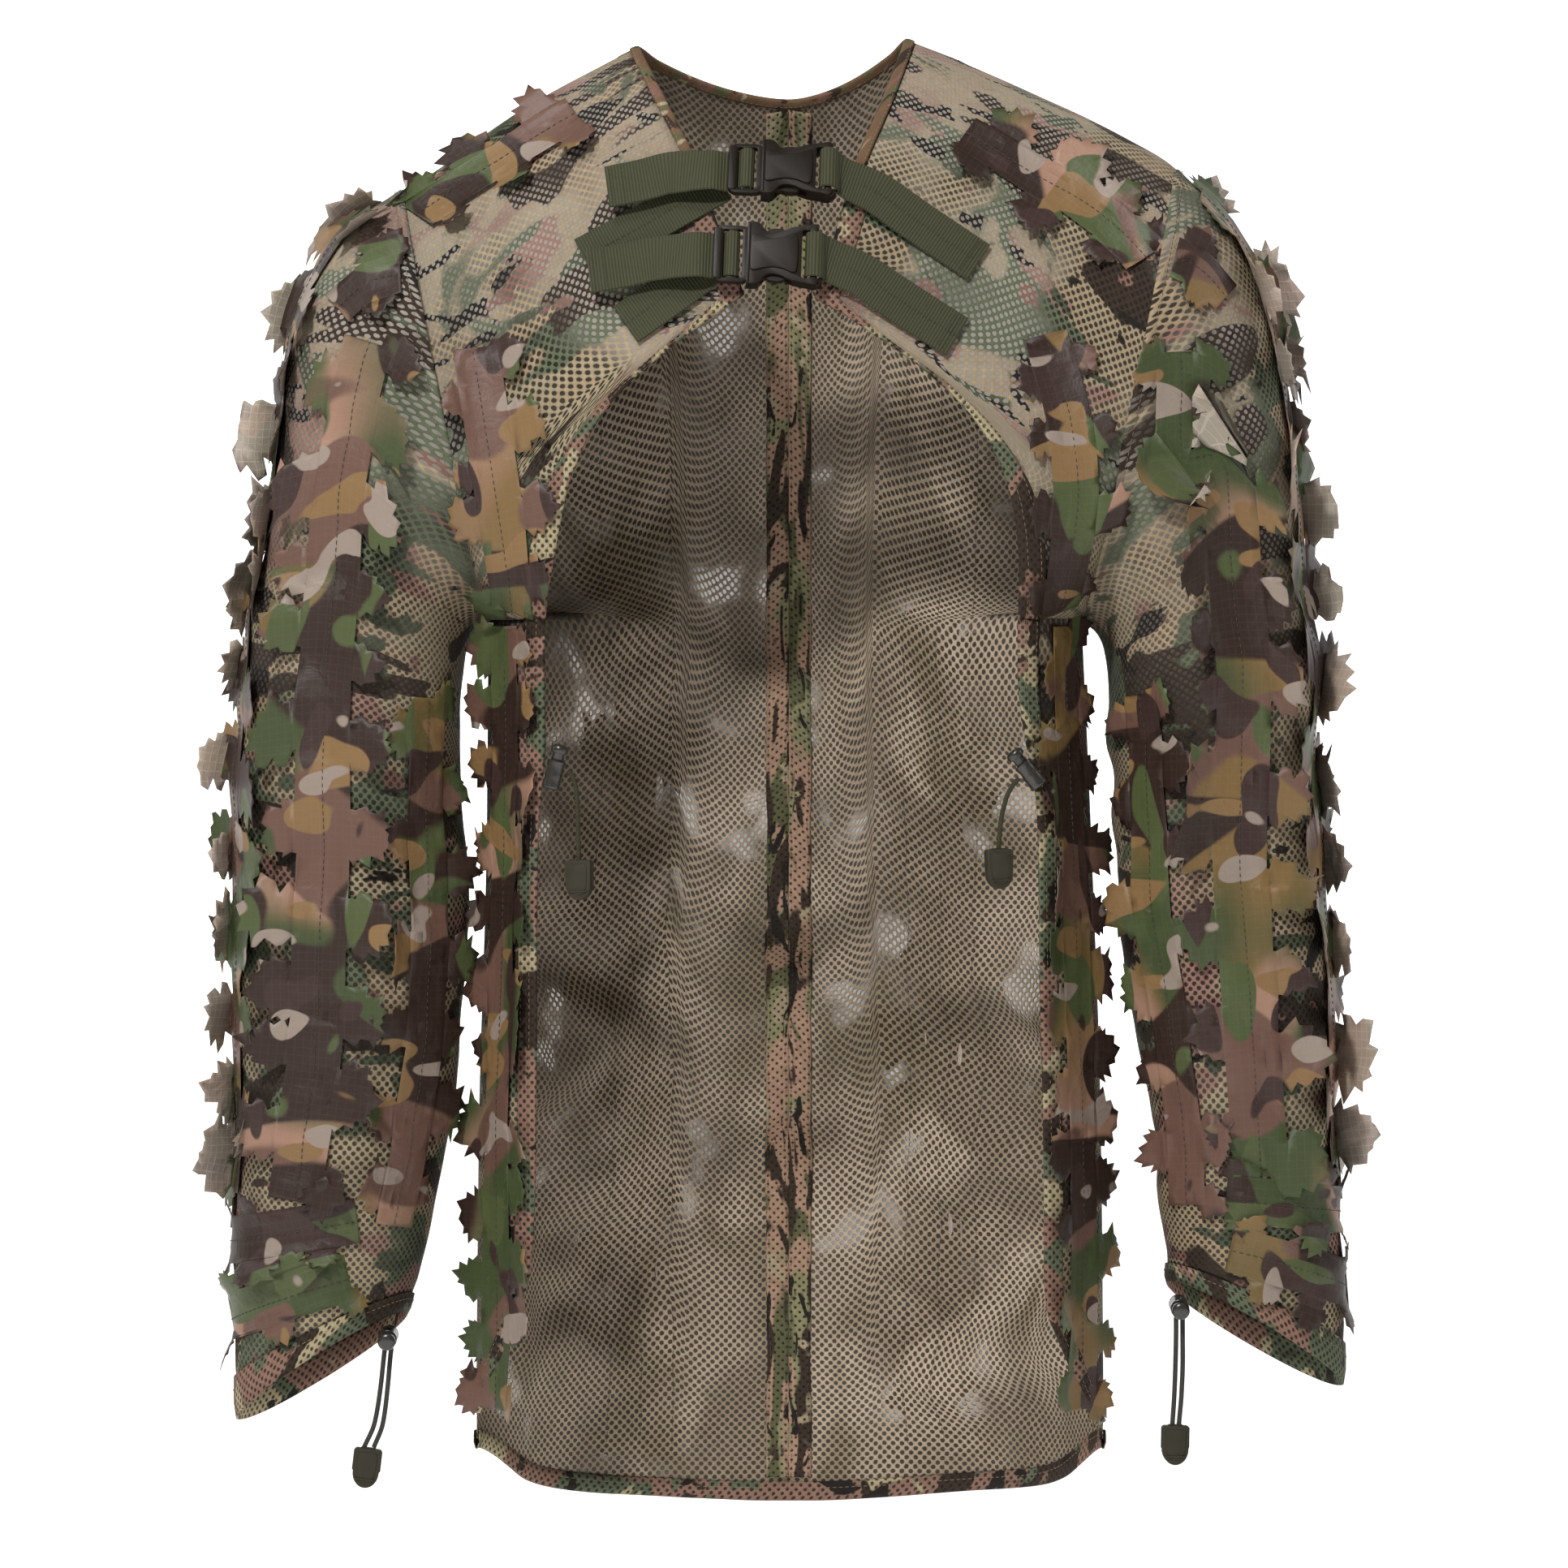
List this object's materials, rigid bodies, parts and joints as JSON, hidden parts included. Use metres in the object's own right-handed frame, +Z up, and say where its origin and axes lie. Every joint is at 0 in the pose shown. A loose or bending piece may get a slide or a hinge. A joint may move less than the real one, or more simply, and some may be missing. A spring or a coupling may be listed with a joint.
{
  "type": "ghillie suit",
  "caption": "Hoodless leafy mesh ghillie jacket with cut-away fronts, chest straps with side-release buckles, and drawcord locks at waist and cuffs.",
  "frame": {"origin": "between the wearer's shoulders, at the height of the back neck edge", "axes": "+Z up, +X towards the wearer's left, the front faces -Y"},
  "size_m": [0.5979, 0.213, 0.7882],
  "materials": {
    "mesh_cloth": "printed camouflage mesh with round holes",
    "edge_cloth": "turned double mesh",
    "tape_cloth": "printed mesh tape",
    "ripstop": "thin printed ripstop with a pale reverse",
    "webbing": "olive ribbed webbing",
    "buckle_plastic": "satin moulded dark brown",
    "lock_plastic": "semi-gloss moulded near black",
    "pull_plastic": "soft moulded grey-brown",
    "drawcord": "round braided cord",
    "spring_steel": "plain wire"
  },
  "bodies": {
    "root": {"back_panel_left": "mesh_cloth", "front_panel_left": "mesh_cloth", "sleeve_left": "mesh_cloth", "front_facing_left": "edge_cloth", "cuff_casing_left": "edge_cloth", "back_seam_tape_left": "tape_cloth", "back_panel_right": "mesh_cloth", "front_panel_right": "mesh_cloth", "sleeve_right": "mesh_cloth", "front_facing_right": "edge_cloth", "cuff_casing_right": "edge_cloth", "back_seam_tape_right": "tape_cloth", "hem_casing": "edge_cloth", "neck_binding": "edge_cloth", "leaf_strip_shoulder_left": "ripstop", "leaf_strip_chest_left": "ripstop", "leaf_strip_side_left": "ripstop", "leaf_strip_back_left": "ripstop", "leaf_strip_sleeve_front_left": "ripstop", "leaf_strip_sleeve_outer_left": "ripstop", "leaf_strip_cuff_left": "ripstop", "leaf_strip_shoulder_right": "ripstop", "leaf_strip_chest_right": "ripstop", "leaf_strip_side_right": "ripstop", "leaf_strip_back_right": "ripstop", "leaf_strip_sleeve_front_right": "ripstop", "leaf_strip_sleeve_outer_right": "ripstop", "leaf_strip_cuff_right": "ripstop", "waist_cord_left": "drawcord", "waist_cord_right": "drawcord", "cuff_cord_a_left": "drawcord", "cuff_cord_b_left": "drawcord", "cuff_cord_a_right": "drawcord", "cuff_cord_b_right": "drawcord", "waist_cord_end_left": "pull_plastic", "cuff_cord_end_left": "pull_plastic", "waist_cord_end_right": "pull_plastic", "cuff_cord_end_right": "pull_plastic", "waist_lock_left_spring": "spring_steel", "cuff_lock_left_spring": "spring_steel", "waist_lock_right_spring": "spring_steel", "cuff_lock_right_spring": "spring_steel", "waist_lock_left_barrel": "lock_plastic", "cuff_lock_left_barrel": "lock_plastic", "waist_lock_right_barrel": "lock_plastic", "cuff_lock_right_barrel": "lock_plastic", "upper_buckle_female": "buckle_plastic", "upper_strap_left": "webbing", "upper_strap_base_right": "webbing", "lower_buckle_female": "buckle_plastic", "lower_strap_left": "webbing", "lower_strap_base_right": "webbing"},
    "upper_latch": {"upper_buckle_male": "buckle_plastic", "upper_strap_tail_right": "webbing"},
    "lower_latch": {"lower_buckle_male": "buckle_plastic", "lower_strap_tail_right": "webbing"},
    "waist_button_left": {"waist_lock_left_plunger": "lock_plastic"},
    "cuff_button_left": {"cuff_lock_left_plunger": "lock_plastic"},
    "waist_button_right": {"waist_lock_right_plunger": "lock_plastic"},
    "cuff_button_right": {"cuff_lock_right_plunger": "lock_plastic"}
  },
  "joints": [
    {"name": "upper_buckle_release", "type": "slide", "parent": "root", "child": "upper_latch", "axis": [-0.9994, 0, 0.0349], "range_m": [0, 0.028]},
    {"name": "lower_buckle_release", "type": "slide", "parent": "root", "child": "lower_latch", "axis": [-0.9994, 0, 0.0349], "range_m": [0, 0.028]},
    {"name": "waist_lock_right_press", "type": "slide", "parent": "root", "child": "waist_button_right", "axis": [-0.2359, 0, -0.9718], "range_m": [0, 0.0035], "stiffness_N_per_m": 700, "springref_m": -0.004, "deforming": ["waist_lock_right_spring"]},
    {"name": "waist_lock_left_press", "type": "slide", "parent": "root", "child": "waist_button_left", "axis": [0.6222, 0, -0.7828], "range_m": [0, 0.0035], "stiffness_N_per_m": 700, "springref_m": -0.004, "deforming": ["waist_lock_left_spring"]},
    {"name": "cuff_lock_right_press", "type": "slide", "parent": "root", "child": "cuff_button_right", "axis": [0, 0.995, 0.0995], "range_m": [0, 0.0035], "stiffness_N_per_m": 700, "springref_m": -0.004, "deforming": ["cuff_lock_right_spring"]},
    {"name": "cuff_lock_left_press", "type": "slide", "parent": "root", "child": "cuff_button_left", "axis": [0, 0.995, 0.0995], "range_m": [0, 0.0035], "stiffness_N_per_m": 700, "springref_m": -0.004, "deforming": ["cuff_lock_left_spring"]}
  ]
}
